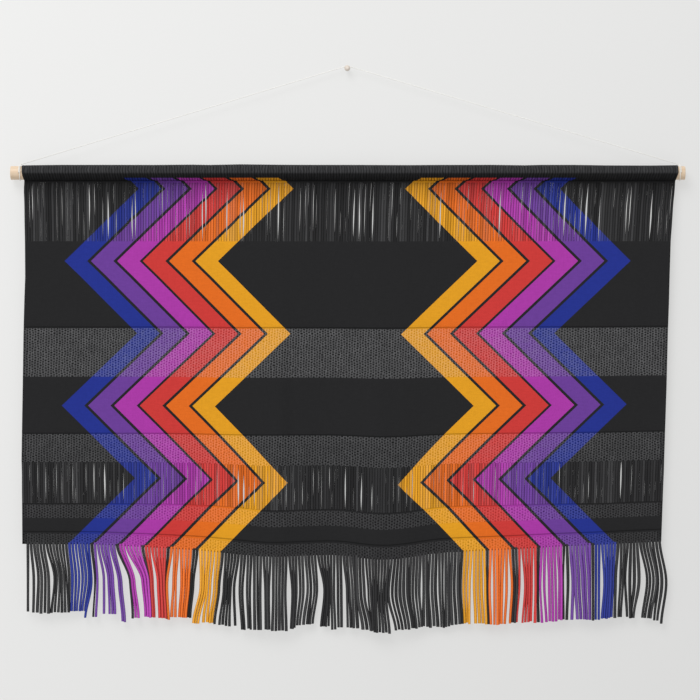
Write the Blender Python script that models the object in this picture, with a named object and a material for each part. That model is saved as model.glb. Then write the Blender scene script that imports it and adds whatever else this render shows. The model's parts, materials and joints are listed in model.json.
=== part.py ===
"""Woven wall hanging: a fringed cloth whose sleeve is threaded on a round wooden dowel, which hangs by a
string from a peg in the wall.

World units are metres and +Z is up. The viewer stands at -Y, and the wall is the plane Y = 0. The origin is
the middle of the peg's flat back, on the wall. All sizes below are in millimetres, which become metres as
each piece is put in the scene.
"""

import math

import bmesh
import bpy

MM = 0.001
GAP = 0.3                   # between pieces that touch on the real hanging

DOWEL_LENGTH = 1194.0
DOWEL_CENTRE = 1.0          # the dowel sits a little to the right of the peg
DOWEL_RADIUS = 12.1
DOWEL_CHAMFER = 0.9
AXIS_Y = -15.2              # the dowel's axis: the sleeve just clears the wall
AXIS_Z = -186.0
DOWEL_SIDES = 24

SLEEVE_THICKNESS = 1.15
SLEEVE_SIDES = 16
SLEEVE_WAVER = 0.35         # how far the loose sleeve stands off, in soft waves along it
CREASE = -199.6             # the seam under the dowel, where the sheet starts to hang

PEG_SHAFT_RADIUS = 3.2
PEG_SHAFT_LENGTH = 13.0
PEG_HEAD_RADIUS = 5.2
PEG_HEAD_HEIGHT = 3.6
PEG_HEAD_EDGE = 0.3         # rounding of the head's back edge
PEG_DOME = (8.0, 26.0, 44.0, 62.0, 80.0)  # angles up the dome, in degrees
PEG_SIDES = 24

STRING_RADIUS = 0.75
STRING_SIDE_STEPS = 2       # gives a tube of eight sides
WRAP_TURNS = 1.25
WRAP_POINTS = 16            # for each turn round the dowel
WRAP_PITCH = 1.9            # along the dowel, for each turn
WRAP_START_LEFT = -580.9    # outer end of the windings, beside the sleeve
WRAP_START_RIGHT = 590.2
WRAP_LIFT = 1.7             # the last quarter turn rides up on the turn before, clear of the sleeve
PEG_PASS_Y = -8.0           # where the string lies on the peg's shaft
PEG_PASS = (-16.0, -8.0, 0.0, 8.0, 16.0)  # its bend over the shaft, in degrees from the top

# The woven bands from the seam down, before they sag, with the rows of vertices inside each and half the
# thickness of its weave.
BANDS = (
    # kind, lower edge, rows inside, half thickness
    ("heading", -206.5, 0, 1.05),
    ("open", -307.0, 3, 0.70),
    ("fine", -458.8, 1, 0.75),
    ("coarse", -546.2, 1, 1.10),
    ("fine", -647.0, 1, 0.75),
    ("coarse", -698.0, 1, 1.10),
    ("open", -770.6, 2, 0.70),
    ("coarse", -795.6, 1, 1.10),
    ("fine", -820.7, 0, 0.75),
    ("coarse", -843.0, 1, 1.10),
)
HEM_HALF = 0.9
SEAM_HALF = 1.0

# The cloth narrows towards its lower right corner.
EDGES = (
    # height, left edge, right edge
    (-172.0, -576.0, 585.0),
    (-186.0, -575.5, 585.3),
    (-199.0, -572.0, 581.0),
    (-216.0, -573.0, 580.0),
    (-243.0, -572.0, 577.0),
    (-305.0, -571.0, 573.0),
    (-370.0, -570.5, 571.0),
    (-411.0, -572.0, 570.0),
    (-470.0, -573.5, 568.0),
    (-570.0, -575.0, 565.5),
    (-695.0, -577.0, 561.5),
    (-765.0, -576.0, 559.0),
    (-850.0, -575.5, 556.0),
)
HALF_WIDTH = 573.0          # of the flat cloth, from which warp positions are counted

# How far the weft lines hang below straight, across the cloth, at three heights.
SAG = (
    # across, at the middle, at the lower open band, at the hem
    (-576.0, 0.0, 0.0, 0.0),
    (-438.0, 0.0, 0.0, 1.0),
    (-332.0, 0.0, 1.0, 7.0),
    (-252.0, 1.5, 3.5, 12.5),
    (-199.0, 3.0, 7.0, 18.0),
    (-137.0, 3.0, 13.5, 23.0),
    (-84.0, 2.5, 11.5, 21.0),
    (-13.0, 3.0, 10.5, 19.5),
    (49.0, 6.0, 17.5, 28.0),
    (93.0, 6.0, 16.5, 26.5),
    (129.0, 3.5, 11.5, 20.5),
    (164.0, 2.0, 7.0, 16.0),
    (200.0, 1.0, 5.0, 14.0),
    (271.0, 0.0, 3.5, 10.5),
    (377.0, -1.0, 1.0, 4.5),
    (448.0, -2.0, 0.0, 1.0),
    (518.0, -3.5, -2.5, -2.0),
    (576.0, -4.5, -4.0, -5.0),
)
SAG_MIDDLE = -647.0
SAG_LOWER = -771.0
HEM = -843.0
SAG_REACH = 22.0            # the weft lines bend softly over this much to each side

# Soft upright folds, deepest at the hem: positive ones stand towards the viewer.
FOLDS = (
    # across, half width, depth at the hem
    (-530.0, 45.0, 3.0),
    (-455.0, 40.0, -2.0),
    (-385.0, 50.0, 3.5),
    (-250.0, 45.0, -3.5),
    (-135.0, 45.0, 8.5),
    (-40.0, 38.0, -4.5),
    (67.0, 48.0, 9.5),
    (165.0, 42.0, -4.0),
    (300.0, 60.0, 3.0),
    (430.0, 48.0, 4.5),
    (520.0, 36.0, -2.5),
)
FOLD_GROWTH = 1.2

# Where the warp parts in the two open bands, as lens-shaped gaps that go right through.
SLITS = (
    # warp position, gap in the upper band, gap in the lower band
    (-457.0, 4.2, 0.0),
    (-443.0, 0.0, 4.2),
    (-424.0, 4.2, 4.2),
    (-384.0, 4.4, 0.0),
    (-377.0, 4.4, 0.0),
    (-259.0, 4.4, 0.0),
    (-251.5, 4.2, 0.0),
    (-215.0, 4.2, 0.0),
    (-193.0, 4.2, 0.0),
    (-186.0, 4.2, 4.2),
    (-179.0, 0.0, 4.2),
    (-125.0, 4.4, 0.0),
    (4.5, 0.0, 4.2),
    (11.5, 4.4, 0.0),
    (18.5, 4.4, 0.0),
    (33.0, 0.0, 4.2),
    (43.0, 4.4, 0.0),
    (162.0, 4.2, 0.0),
    (267.0, 4.2, 0.0),
    (382.0, 4.2, 0.0),
    (420.0, 5.0, 0.0),
    (491.5, 4.4, 0.0),
    (498.5, 4.4, 4.2),
    (536.5, 4.4, 0.0),
)
COLUMN_STEP = 27.0          # widest spacing of the cloth's columns of vertices

FRINGE_STRIP = 2.6          # height of the strip that holds the roots
FRINGE_LEFT = -565.6        # first and last strand
FRINGE_RIGHT = 553.2
STRAND_WIDTH = 3.0
STRAND_TIP = 0.85           # of the width, at the tip
STRAND_STAGGER = 1.15       # neighbours hang in turn before and behind the middle
STAGGER_DROP = 0.3          # share of a strand's length in which it gets there
STRAND_LEVELS = (0.0, 0.2, 0.45, 0.72, 1.0)

# The fringe hangs in locks that lean and draw together, listed from left to right.
LOCKS = (
    # strands, lean at half length, spacing there, lean at the tip, spacing there, length
    (1, 0, 1.00, 0, 1.00, 116),
    (1, 5, 1.00, 4, 1.00, 118),
    (4, 8, 1.08, 7, 1.20, 119),
    (6, 10, 0.76, 9, 1.08, 118),
    (7, 6, 1.04, 2, 0.84, 115),
    (1, 5, 1.00, -6, 1.00, 126),
    (2, 5, 0.75, 2, 0.94, 125),
    (1, 10, 1.00, 10, 1.00, 120),
    (3, 11, 0.71, 14, 0.86, 119),
    (2, 14, 0.78, 20, 0.75, 132),
    (3, 21, 0.63, 27, 0.94, 124),
    (8, 17, 0.45, 21, 0.40, 121),
    (7, 1, 0.47, 4, 0.47, 121),
    (2, -3, 0.75, -5, 1.13, 117),
    (6, -3, 0.75, -8, 0.69, 116),
    (3, -1, 0.72, -14, 0.72, 125),
    (2, -5, 0.90, -11, 1.10, 123),
    (3, -5, 0.78, -13, 0.78, 123),
    (4, -6, 0.73, -11, 1.04, 124),
    (1, -8, 1.00, -6, 1.00, 123),
    (2, -4, 0.82, 0, 0.75, 128),
    (2, -2, 0.82, 0, 0.75, 127),
    (2, 0, 0.94, 1, 1.13, 127),
    (1, -1, 1.00, 0, 1.00, 126),
    (3, 0, 0.56, 1, 0.53, 126),
    (5, -1, 0.94, -1, 1.08, 128),
    (3, 3, 0.63, 0, 0.47, 125),
    (2, 2, 0.94, -4, 0.82, 120),
    (2, 4, 0.94, -3, 1.38, 119),
    (2, 4, 0.82, -4, 0.82, 118),
    (4, 7, 0.52, 3, 0.78, 123),
    (2, 0, 0.82, 2, 0.94, 128),
    (2, 1, 1.00, 2, 1.00, 124),
    (2, 5, 0.78, 7, 0.94, 123),
    (2, 4, 0.94, 7, 1.25, 123),
    (3, 2, 1.10, 13, 1.25, 124),
    (3, 3, 0.78, 7, 0.50, 125),
    (5, -2, 0.80, 2, 1.00, 126),
    (6, -3, 1.20, 8, 1.04, 122),
    (2, -2, 0.94, 5, 0.75, 124),
    (2, -2, 1.00, 3, 0.75, 123),
    (2, 0, 0.94, 1, 1.25, 124),
    (3, -2, 1.10, 2, 1.18, 126),
    (3, 0, 0.94, 2, 0.72, 128),
    (1, -1, 1.00, 0, 1.00, 128),
    (3, -2, 1.10, 1, 1.25, 125),
    (4, -3, 0.94, -1, 0.73, 124),
    (3, 0, 1.10, 3, 1.16, 125),
    (3, 0, 0.71, 2, 0.72, 128),
    (2, 1, 0.94, 1, 0.94, 129),
    (2, -2, 0.82, -3, 0.82, 128),
    (1, 0, 1.00, -3, 1.00, 128),
    (4, 2, 0.78, -2, 0.73, 127),
    (4, 2, 0.68, -1, 0.90, 127),
    (3, -1, 0.72, 0, 1.10, 129),
    (1, -1, 1.00, 3, 1.00, 129),
    (3, 2, 0.99, 3, 0.99, 128),
    (3, 1, 0.56, 1, 0.72, 126),
    (2, 3, 1.60, 1, 1.60, 127),
    (3, 4, 1.10, 7, 1.10, 127),
    (2, 4, 1.07, 6, 0.82, 127),
    (4, 0, 0.94, 0, 0.90, 129),
    (4, 1, 0.66, -3, 0.73, 127),
    (2, -4, 0.75, -6, 1.07, 127),
    (2, -2, 0.75, -6, 0.75, 127),
    (2, -3, 1.40, -1, 0.94, 129),
    (2, 2, 1.40, -6, 0.75, 129),
    (2, 12, 0.91, 3, 0.75, 129),
    (2, 12, 0.91, 2, 0.75, 131),
    (2, 9, 1.25, 2, 0.91, 136),
    (1, 12, 1.00, 3, 1.00, 141),
)

# Finishes: colour, roughness, metallic
BLACK_YARN = ((0.022, 0.022, 0.024), 0.92, 0.0)
FRINGE_YARN = ((0.030, 0.030, 0.032), 0.92, 0.0)
PALE_WOOD = ((0.80, 0.64, 0.44), 0.55, 0.0)
OFF_WHITE = ((0.80, 0.79, 0.76), 0.85, 0.0)
PEG_WOOD = ((0.68, 0.57, 0.46), 0.50, 0.0)


def clear_scene():
    for ob in list(bpy.data.objects):
        bpy.data.objects.remove(ob)


def finish(name, look):
    colour, roughness, metallic = look
    material = bpy.data.materials.new(name)
    material.use_nodes = True
    shader = material.node_tree.nodes["Principled BSDF"]
    shader.inputs["Base Color"].default_value = (*colour, 1.0)
    shader.inputs["Roughness"].default_value = roughness
    shader.inputs["Metallic"].default_value = metallic
    return material


def solid(name, bm, look, smooth=None):
    """Scale a mesh from millimetres to metres, turn its faces outward and put it in the scene."""
    bmesh.ops.scale(bm, vec=(MM, MM, MM), verts=bm.verts)
    bmesh.ops.recalc_face_normals(bm, faces=bm.faces)
    mesh = bpy.data.meshes.new(name)
    bm.to_mesh(mesh)
    bm.free()
    if smooth is not None:
        mesh.shade_smooth()
        mesh.set_sharp_from_angle(angle=math.radians(smooth))
    mesh.materials.append(finish(name, look))
    ob = bpy.data.objects.new(name, mesh)
    bpy.context.scene.collection.objects.link(ob)
    return ob


def along(table, key, column):
    """The value in a column of a table at a key, on straight lines between its rows."""
    low = table[0]
    if (key - low[0]) * (table[-1][0] - low[0]) <= 0.0:
        return low[column]
    for high in table[1:]:
        if abs(key - table[0][0]) <= abs(high[0] - table[0][0]):
            share = (key - low[0]) / (high[0] - low[0])
            return low[column] + share * (high[column] - low[column])
        low = high
    return low[column]


def soft_along(table, key, column):
    """The same, averaged over a short stretch to each side, so that the line bends softly."""
    shares = (-1.0, -0.5, 0.0, 0.5, 1.0)
    return sum(along(table, key + SAG_REACH * share, column) for share in shares) / len(shares)


def across(warp, height):
    """Where a warp position of the flat cloth lies across the hung cloth at a height."""
    left = along(EDGES, height, 1)
    right = along(EDGES, height, 2)
    return left + (warp + HALF_WIDTH) / (2.0 * HALF_WIDTH) * (right - left)


def sag(x, height):
    """How far a weft line of the given height has sunk at x."""
    middle, lower, hem = (soft_along(SAG, x, column) for column in (1, 2, 3))
    if height > SAG_MIDDLE:
        return middle * ((CREASE - height) / (CREASE - SAG_MIDDLE)) ** 2
    if height > SAG_LOWER:
        return middle + (lower - middle) * (SAG_MIDDLE - height) / (SAG_MIDDLE - SAG_LOWER)
    return lower + (hem - lower) * (SAG_LOWER - height) / (SAG_LOWER - HEM)


def fold(x, height):
    """How far the cloth stands towards the viewer at x, from its upright folds."""
    depth = sum(size * math.exp(-((x - centre) / half) ** 2) for centre, half, size in FOLDS)
    return depth * max(0.0, (CREASE - height) / (CREASE - HEM)) ** FOLD_GROWTH


def sheet_point(warp, height, offset=0.0):
    """A point on the cloth's middle surface, or in front of it by a negative offset."""
    x = across(warp, height)
    return (x, AXIS_Y - fold(x, height) + offset, height - sag(x, height))


def levels():
    """Rows of the sheet from the seam to the hem: height, half thickness and the band that each is inside."""
    rows = [(CREASE, SEAM_HALF, None, 0.0)]
    top = CREASE
    for index, (kind, bottom, inside, half) in enumerate(BANDS):
        for step in range(1, inside + 1):
            share = step / (inside + 1)
            rows.append((top + (bottom - top) * share, half, index, share))
        below = BANDS[index + 1][3] if index + 1 < len(BANDS) else HEM_HALF
        rows.append((bottom, min(half, below), None, 0.0))
        top = bottom
    return rows


def columns():
    """Warp positions of the columns of vertices: the edges, the slits and even steps between them."""
    marks = [-HALF_WIDTH] + [row[0] for row in SLITS] + [HALF_WIDTH]
    found = [marks[0]]
    for mark in marks[1:]:
        span = mark - found[-1]
        steps = max(1, math.ceil(span / COLUMN_STEP))
        start = found[-1]
        found += [start + span * (step + 1) / steps for step in range(steps)]
    return found


def slit_gap(warp, band, share):
    """Half the gap of the slit at a warp position, at a share of an open band's height."""
    if band is None or BANDS[band][0] != "open":
        return 0.0
    column = 1 if BANDS[band][1] > SAG_MIDDLE else 2
    for row in SLITS:
        if abs(row[0] - warp) < 0.01:
            return 0.5 * row[column] * math.sin(math.pi * share)
    return 0.0


def sheet_side(bm, stations, rows, side):
    """One face of the sheet: for each station and row the vertex to its left and the one to its right."""
    face = []
    for warp in stations:
        line = []
        for height, half, band, share in rows:
            gap = slit_gap(warp, band, share)
            x, y, z = sheet_point(warp, height, side * half)
            left = bm.verts.new((x - gap, y, z))
            right = bm.verts.new((x + gap, y, z)) if gap > 0.0 else left
            line.append((left, right))
        face.append(line)
    return face


def sleeve_angle(step):
    """The angle from straight down, over the front, of a step round the sleeve."""
    start = math.asin(SEAM_HALF / sleeve_radius(0.0))
    return start + (2.0 * math.pi - 2.0 * start) * step / SLEEVE_SIDES


def sleeve_bore():
    """The sleeve's inner corners, so that its flat facets clear the round dowel."""
    return (DOWEL_RADIUS + GAP) / math.cos(math.pi / SLEEVE_SIDES)


def sleeve_radius(x):
    waves = math.sin(x / 61.0) + 0.6 * math.sin(x / 23.0 + 1.0)
    return sleeve_bore() + SLEEVE_THICKNESS + SLEEVE_WAVER * (0.5 + 0.3 * waves)


def sleeve_point(warp, step, inner):
    x = across(warp, AXIS_Z)
    radius = sleeve_bore() if inner else sleeve_radius(x)
    angle = sleeve_angle(step)
    z = AXIS_Z - radius * math.cos(angle)
    return (across(warp, z), AXIS_Y - radius * math.sin(angle), z)


def build_cloth():
    """The sheet with its sleeve in one: a closed loop round the dowel on top of a hanging stem."""
    bm = bmesh.new()
    stations = columns()
    rows = levels()
    front = sheet_side(bm, stations, rows, -1.0)
    back = sheet_side(bm, stations, rows, 1.0)
    last = len(stations) - 1
    foot = len(rows) - 1
    for j in range(last):
        for side in (front, back):
            for r in range(foot):
                bm.faces.new((side[j][r][1], side[j + 1][r][0], side[j + 1][r + 1][0], side[j][r + 1][1]))
        bm.faces.new((front[j][foot][1], front[j + 1][foot][0], back[j + 1][foot][0], back[j][foot][1]))
    for j in range(1, last):
        for r in range(foot):
            if front[j][r][0] is front[j][r][1] and front[j][r + 1][0] is front[j][r + 1][1]:
                continue
            for lip in (0, 1):
                bm.faces.new((front[j][r][lip], front[j][r + 1][lip], back[j][r + 1][lip], back[j][r][lip]))
    close_sheet_end(bm, front[0], back[0])
    close_sheet_end(bm, front[last], back[last])
    build_sleeve(bm, stations, front, back)
    return solid("cloth", bm, BLACK_YARN, smooth=40)


def close_sheet_end(bm, front, back):
    for r in range(len(front) - 1):
        bm.faces.new((front[r][0], front[r + 1][0], back[r + 1][0], back[r][0]))


def build_sleeve(bm, stations, front, back):
    """The tube round the dowel, on every second column, joined to the top row of the sheet."""
    last = len(stations) - 1
    ribs = list(range(0, last, 2)) + [last]
    outer = {}
    inner = {}
    for j in ribs:
        ring = [bm.verts.new(sleeve_point(stations[j], step, False)) for step in range(1, SLEEVE_SIDES)]
        outer[j] = [front[j][0][0]] + ring + [back[j][0][0]]
        inner[j] = [bm.verts.new(sleeve_point(stations[j], step, True)) for step in range(SLEEVE_SIDES + 1)]
    for a, c in zip(ribs, ribs[1:]):
        for k in range(1, SLEEVE_SIDES - 1):
            bm.faces.new((outer[a][k], outer[c][k], outer[c][k + 1], outer[a][k + 1]))
        for k in range(SLEEVE_SIDES + 1):
            after = (k + 1) % (SLEEVE_SIDES + 1)
            bm.faces.new((inner[a][k], inner[c][k], inner[c][after], inner[a][after]))
        for side, k in ((front, 1), (back, SLEEVE_SIDES - 1)):
            seam = [side[j][0][0] for j in range(a, c + 1)]
            for one, two in zip(seam, seam[1:]):
                bm.faces.new((one, two, outer[a][k]))
            bm.faces.new((seam[-1], outer[c][k], outer[a][k]))
    for j in (0, last):
        for k in range(SLEEVE_SIDES):
            bm.faces.new((outer[j][k], outer[j][k + 1], inner[j][k + 1], inner[j][k]))
        bm.faces.new((outer[j][0], outer[j][-1], inner[j][-1], inner[j][0]))


def hem_point(x):
    """The middle of the cloth's lower edge at x, on the straight runs between its columns."""
    marks = [sheet_point(warp, HEM) for warp in columns()]
    for low, high in zip(marks, marks[1:]):
        if x <= high[0]:
            share = (x - low[0]) / (high[0] - low[0])
            return tuple(a + share * (b - a) for a, b in zip(low, high))
    return marks[-1]


def strands():
    """Each strand's root across, its leans at half length and at the tip, and its length."""
    count = sum(lock[0] for lock in LOCKS)
    pitch = (FRINGE_RIGHT - FRINGE_LEFT) / (count - 1)
    found = []
    for number, lean_mid, space_mid, lean_tip, space_tip, length in LOCKS:
        centre = FRINGE_LEFT + pitch * (len(found) + (number - 1) / 2.0)
        for place in range(number):
            off = pitch * (place - (number - 1) / 2.0)
            mid = lean_mid + off * (space_mid - 1.0)
            tip = lean_tip + off * (space_tip - 1.0)
            found.append((centre + off, mid, tip, float(length)))
    return found


def strand_ring(root, index, strand, share):
    """Three corners of a strand at a share of its length: front left, front right and back."""
    _, mid, tip, length = strand
    lean = 4.0 * mid * share * (1.0 - share) + tip * share * (2.0 * share - 1.0)
    half = 0.5 * STRAND_WIDTH * (1.0 + (STRAND_TIP - 1.0) * share)
    side = -1.0 if index % 2 else 1.0
    y = root[1] + side * STRAND_STAGGER * min(1.0, share / STAGGER_DROP)
    x = root[0] + lean
    z = root[2] - GAP - FRINGE_STRIP - length * share
    return ((x - half, y - HEM_HALF, z), (x + half, y - HEM_HALF, z), (x, y + HEM_HALF, z))


def build_fringe():
    """The strip under the hem, with every strand drawn down out of its lower face."""
    bm = bmesh.new()
    hangs = strands()
    tops = []
    roots = []
    marks = [(hangs[0][0] - STRAND_WIDTH, None)]
    marks += [(strand[0], strand) for strand in hangs]
    marks += [(hangs[-1][0] + STRAND_WIDTH, None)]
    for index, (x, strand) in enumerate(marks):
        root = hem_point(x)
        top = root[2] - GAP
        tops.append([bm.verts.new((x, root[1] + side * HEM_HALF, top)) for side in (-1.0, 1.0)])
        if strand is None:
            low = top - FRINGE_STRIP
            front = bm.verts.new((x, root[1] - HEM_HALF, low))
            roots.append((front, front, bm.verts.new((x, root[1] + HEM_HALF, low))))
            continue
        corners = [strand_ring(root, index, strand, share) for share in STRAND_LEVELS]
        rings = [[bm.verts.new(corner) for corner in ring] for ring in corners]
        for upper, lower in zip(rings, rings[1:]):
            for k in range(3):
                after = (k + 1) % 3
                bm.faces.new((upper[k], upper[after], lower[after], lower[k]))
        bm.faces.new(rings[-1])
        bm.faces.new((tops[-1][0], rings[0][0], rings[0][1]))
        roots.append(tuple(rings[0]))
    for a in range(len(marks) - 1):
        c = a + 1
        bm.faces.new((tops[a][0], tops[c][0], tops[c][1], tops[a][1]))
        bm.faces.new((tops[a][0], roots[a][1], roots[c][0], tops[c][0]))
        bm.faces.new((tops[a][1], tops[c][1], roots[c][2], roots[a][2]))
        bm.faces.new((roots[a][1], roots[a][2], roots[c][2], roots[c][0]))
    for a in (0, len(marks) - 1):
        bm.faces.new((tops[a][0], tops[a][1], roots[a][2], roots[a][0]))
    return solid("fringe", bm, FRINGE_YARN)


def turned(bm, profile, sides, place):
    """A solid of revolution from (distance along, radius) pairs, closed at both ends."""
    rings = []
    for distance, radius in profile:
        ring = []
        for step in range(sides):
            angle = 2.0 * math.pi * step / sides
            ring.append(bm.verts.new(place(distance, radius * math.cos(angle), radius * math.sin(angle))))
        rings.append(ring)
    for one, two in zip(rings, rings[1:]):
        for k in range(sides):
            after = (k + 1) % sides
            bm.faces.new((one[k], one[after], two[after], two[k]))
    bm.faces.new(rings[0])
    bm.faces.new(rings[-1])


def build_dowel():
    bm = bmesh.new()
    half = DOWEL_LENGTH / 2.0
    profile = (
        (-half, DOWEL_RADIUS - DOWEL_CHAMFER),
        (-half + DOWEL_CHAMFER, DOWEL_RADIUS),
        (half - DOWEL_CHAMFER, DOWEL_RADIUS),
        (half, DOWEL_RADIUS - DOWEL_CHAMFER),
    )
    turned(bm, profile, DOWEL_SIDES, lambda d, u, v: (DOWEL_CENTRE + d, AXIS_Y + u, AXIS_Z + v))
    return solid("dowel", bm, PALE_WOOD, smooth=35)


def build_peg():
    """A small turned peg: a round shaft out of the wall and a low domed head."""
    bm = bmesh.new()
    head = PEG_SHAFT_LENGTH
    profile = [(0.0, PEG_SHAFT_RADIUS), (head, PEG_SHAFT_RADIUS), (head, PEG_HEAD_RADIUS - PEG_HEAD_EDGE)]
    for angle in map(math.radians, PEG_DOME):
        profile.append((head + PEG_HEAD_HEIGHT * math.sin(angle), PEG_HEAD_RADIUS * math.cos(angle)))
    turned(bm, profile, PEG_SIDES, lambda d, u, v: (u, -d, v))
    return solid("peg", bm, PEG_WOOD, smooth=35)


def windings(start, turn_in):
    """The string's turns round the dowel, from its tucked end to where it leaves for the peg, at the top.

    turn_in is 1 where the turns run to the right and -1 where they run to the left, towards the sleeve.
    """
    lay = (DOWEL_RADIUS + GAP + STRING_RADIUS) / math.cos(math.pi / WRAP_POINTS)
    steps = round(WRAP_TURNS * WRAP_POINTS)
    rise = WRAP_POINTS // 4
    points = []
    for step in range(steps + 1):
        angle = 0.5 * math.pi + 2.0 * math.pi * (steps - step) / WRAP_POINTS
        lift = max(0.0, (step - (steps - rise)) / rise)
        radius = lay + WRAP_LIFT * lift
        x = start + turn_in * WRAP_PITCH * step / WRAP_POINTS
        points.append((x, AXIS_Y + radius * math.cos(angle), AXIS_Z + radius * math.sin(angle)))
    return points


def string_route():
    """One taut line: round the dowel beside the sleeve, over the peg's shaft and down to the other end."""
    left = windings(WRAP_START_LEFT, 1.0)
    right = windings(WRAP_START_RIGHT, -1.0)
    bend = math.radians(PEG_PASS[1] - PEG_PASS[0])
    reach = (PEG_SHAFT_RADIUS + GAP + STRING_RADIUS) / math.cos(bend / 2.0)
    over = []
    for angle in map(math.radians, PEG_PASS):
        over.append((reach * math.sin(angle), PEG_PASS_Y, reach * math.cos(angle)))
    return left + over + right[::-1]


def build_string():
    """A round tube along the route, with closed ends."""
    curve = bpy.data.curves.new("string", "CURVE")
    curve.dimensions = "3D"
    curve.bevel_depth = STRING_RADIUS * MM
    curve.bevel_resolution = STRING_SIDE_STEPS
    curve.use_fill_caps = True
    curve.resolution_u = 1
    curve.render_resolution_u = 0
    route = string_route()
    spline = curve.splines.new("POLY")
    spline.points.add(len(route) - 1)
    for point, place in zip(spline.points, route):
        point.co = (place[0] * MM, place[1] * MM, place[2] * MM, 1.0)
    curve.materials.append(finish("string", OFF_WHITE))
    ob = bpy.data.objects.new("string", curve)
    bpy.context.scene.collection.objects.link(ob)
    return ob


def main():
    clear_scene()
    build_cloth()
    build_fringe()
    build_dowel()
    build_string()
    build_peg()


main()
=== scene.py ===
"""Looks of the woven wall hanging: a printed black cloth with open warp bands and a cut fringe, sleeved on a
pale dowel that hangs by a string from a peg.

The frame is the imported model's: metres, +Z up, the viewer at -Y and the wall at Y = 0. The sizes below are in
millimetres, as in the part's source, and become metres when a mesh is made.
"""

import json
import math

import bpy
import numpy as np
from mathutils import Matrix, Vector

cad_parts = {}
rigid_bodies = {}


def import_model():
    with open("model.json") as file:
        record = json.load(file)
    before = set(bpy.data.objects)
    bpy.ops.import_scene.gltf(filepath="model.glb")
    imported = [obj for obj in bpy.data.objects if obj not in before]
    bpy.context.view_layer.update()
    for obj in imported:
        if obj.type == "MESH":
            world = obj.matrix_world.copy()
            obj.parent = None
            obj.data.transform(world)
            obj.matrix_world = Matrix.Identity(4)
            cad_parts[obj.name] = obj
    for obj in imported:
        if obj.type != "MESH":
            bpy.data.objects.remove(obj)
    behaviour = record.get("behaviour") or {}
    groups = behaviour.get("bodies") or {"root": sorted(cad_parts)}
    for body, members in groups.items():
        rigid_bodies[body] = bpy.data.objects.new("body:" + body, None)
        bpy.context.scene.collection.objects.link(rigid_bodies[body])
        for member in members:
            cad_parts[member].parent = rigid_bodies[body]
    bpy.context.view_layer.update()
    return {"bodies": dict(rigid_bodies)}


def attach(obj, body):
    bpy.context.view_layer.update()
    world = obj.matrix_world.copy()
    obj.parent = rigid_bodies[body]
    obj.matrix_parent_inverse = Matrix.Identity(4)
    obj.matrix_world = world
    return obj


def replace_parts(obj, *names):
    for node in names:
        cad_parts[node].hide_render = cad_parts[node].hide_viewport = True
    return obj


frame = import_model()
BODY = list(frame["bodies"])[0]

MM = 0.001
SEED = 7

# The dowel and its sleeve, as in the part's source
GAP = 0.3
DOWEL_LENGTH = 1194.0
DOWEL_CENTRE = 1.0
DOWEL_RADIUS = 12.1
DOWEL_ROUNDING = 0.9
DOWEL_SIDES = 96
DOWEL_END_RINGS = (0.25, 0.7)  # rings of vertices on its ends, as shares of their radius
AXIS_Y = -15.2
AXIS_Z = -186.0
SLEEVE_THICKNESS = 1.15
SLEEVE_CORNERS = 16  # of the solid, whose radius the fine sleeve keeps
SLEEVE_STEPS = 28
SLEEVE_WAVER = 0.35
SLEEVE_WAVES = ((61.0, 1.0, 0.0), (23.0, 0.6, 1.0))  # length, size and phase
WAVE_SHARE = 0.3
SLEEVE_RIB = 0.17  # half the height of its ribs
HEADING_RIB = 0.6  # the share of it that the heading has
INNER_STEP = 8  # the sleeve's inside has a column of vertices for every eighth outside
CREASE = -199.6
SEAM_HALF = 1.0
HEADING_ROWS = (-201.2, -202.8)
PRINT_TOP = CREASE + 11.5  # measured on the cloth, up the sleeve's lower side

# The peg and the string
PEG_SHAFT_RADIUS = 3.2
PEG_SHAFT_LENGTH = 13.0
PEG_HEAD_RADIUS = 5.2
PEG_HEAD_HEIGHT = 3.6
PEG_HEAD_EDGE = 0.3
PEG_NECK = (0.6, 0.3)  # how long and how wide the shaft's flare under the head is
PEG_RIM = (0.15, 0.06)  # how high and how deep the bevel of the head's edge is
PEG_HEAD_DEGREES = range(4, 88, 7)
PEG_SIDES = 64
STRING_RADIUS = 0.75
STRING_TWIST = 5.0  # one turn of its two plies
STRING_PLIES = (0.92, 0.08)  # its radius all round and what the plies add, as shares
STRING_STEP = 0.9
STRING_SIDES = 8
WRAP_TURNS = 1.25
WRAP_POINTS = 16
WRAP_PITCH = 1.9
WRAP_START_LEFT = -580.9
WRAP_START_RIGHT = 590.2
WRAP_LIFT = 1.7
PEG_PASS_Y = -8.0
PEG_PASS = (-16.0, -8.0, 0.0, 8.0, 16.0)

# The woven bands from the seam down: kind, upper edge, lower edge
UPPER_OPEN = (-202.8, -307.0)
LOWER_OPEN = (-698.0, -770.6)
FIELD_BANDS = (
    ("fine", -307.0, -458.8),
    ("coarse", -458.8, -546.2),
    ("fine", -546.2, -647.0),
    ("coarse", -647.0, -698.0),
)
FOOT_BANDS = (
    ("coarse", -770.6, -795.6),
    ("fine", -795.6, -820.7),
    ("coarse", -820.7, -843.0),
)
HEM = -843.0
HALF_WIDTH = 573.0
YARN_COUNT = 240  # warp yarns across the cloth, each of two plies
YARN_PITCH = 2.0 * HALF_WIDTH / YARN_COUNT
YARNS = -HALF_WIDTH + YARN_PITCH * (np.arange(YARN_COUNT) + 0.5)  # where their middles are
WEFT_PITCH = 2.3  # of the coarse bands
FINE_ROW = 9.0
FINE_INSET = 1.6  # from a fine band's edges to its first and last full row
FINE_HALF = 0.72
COARSE_HALF = 0.78
COARSE_RELIEF = 0.30  # how far a yarn stands out where it passes over another
VALLEY_HALF = 0.42  # between two weft rows
GROOVE_HALF = 0.45  # where two bands meet
SELVEDGE = 8.0
SELVEDGE_CALM = 0.45  # the share of the relief that is left in it

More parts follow.
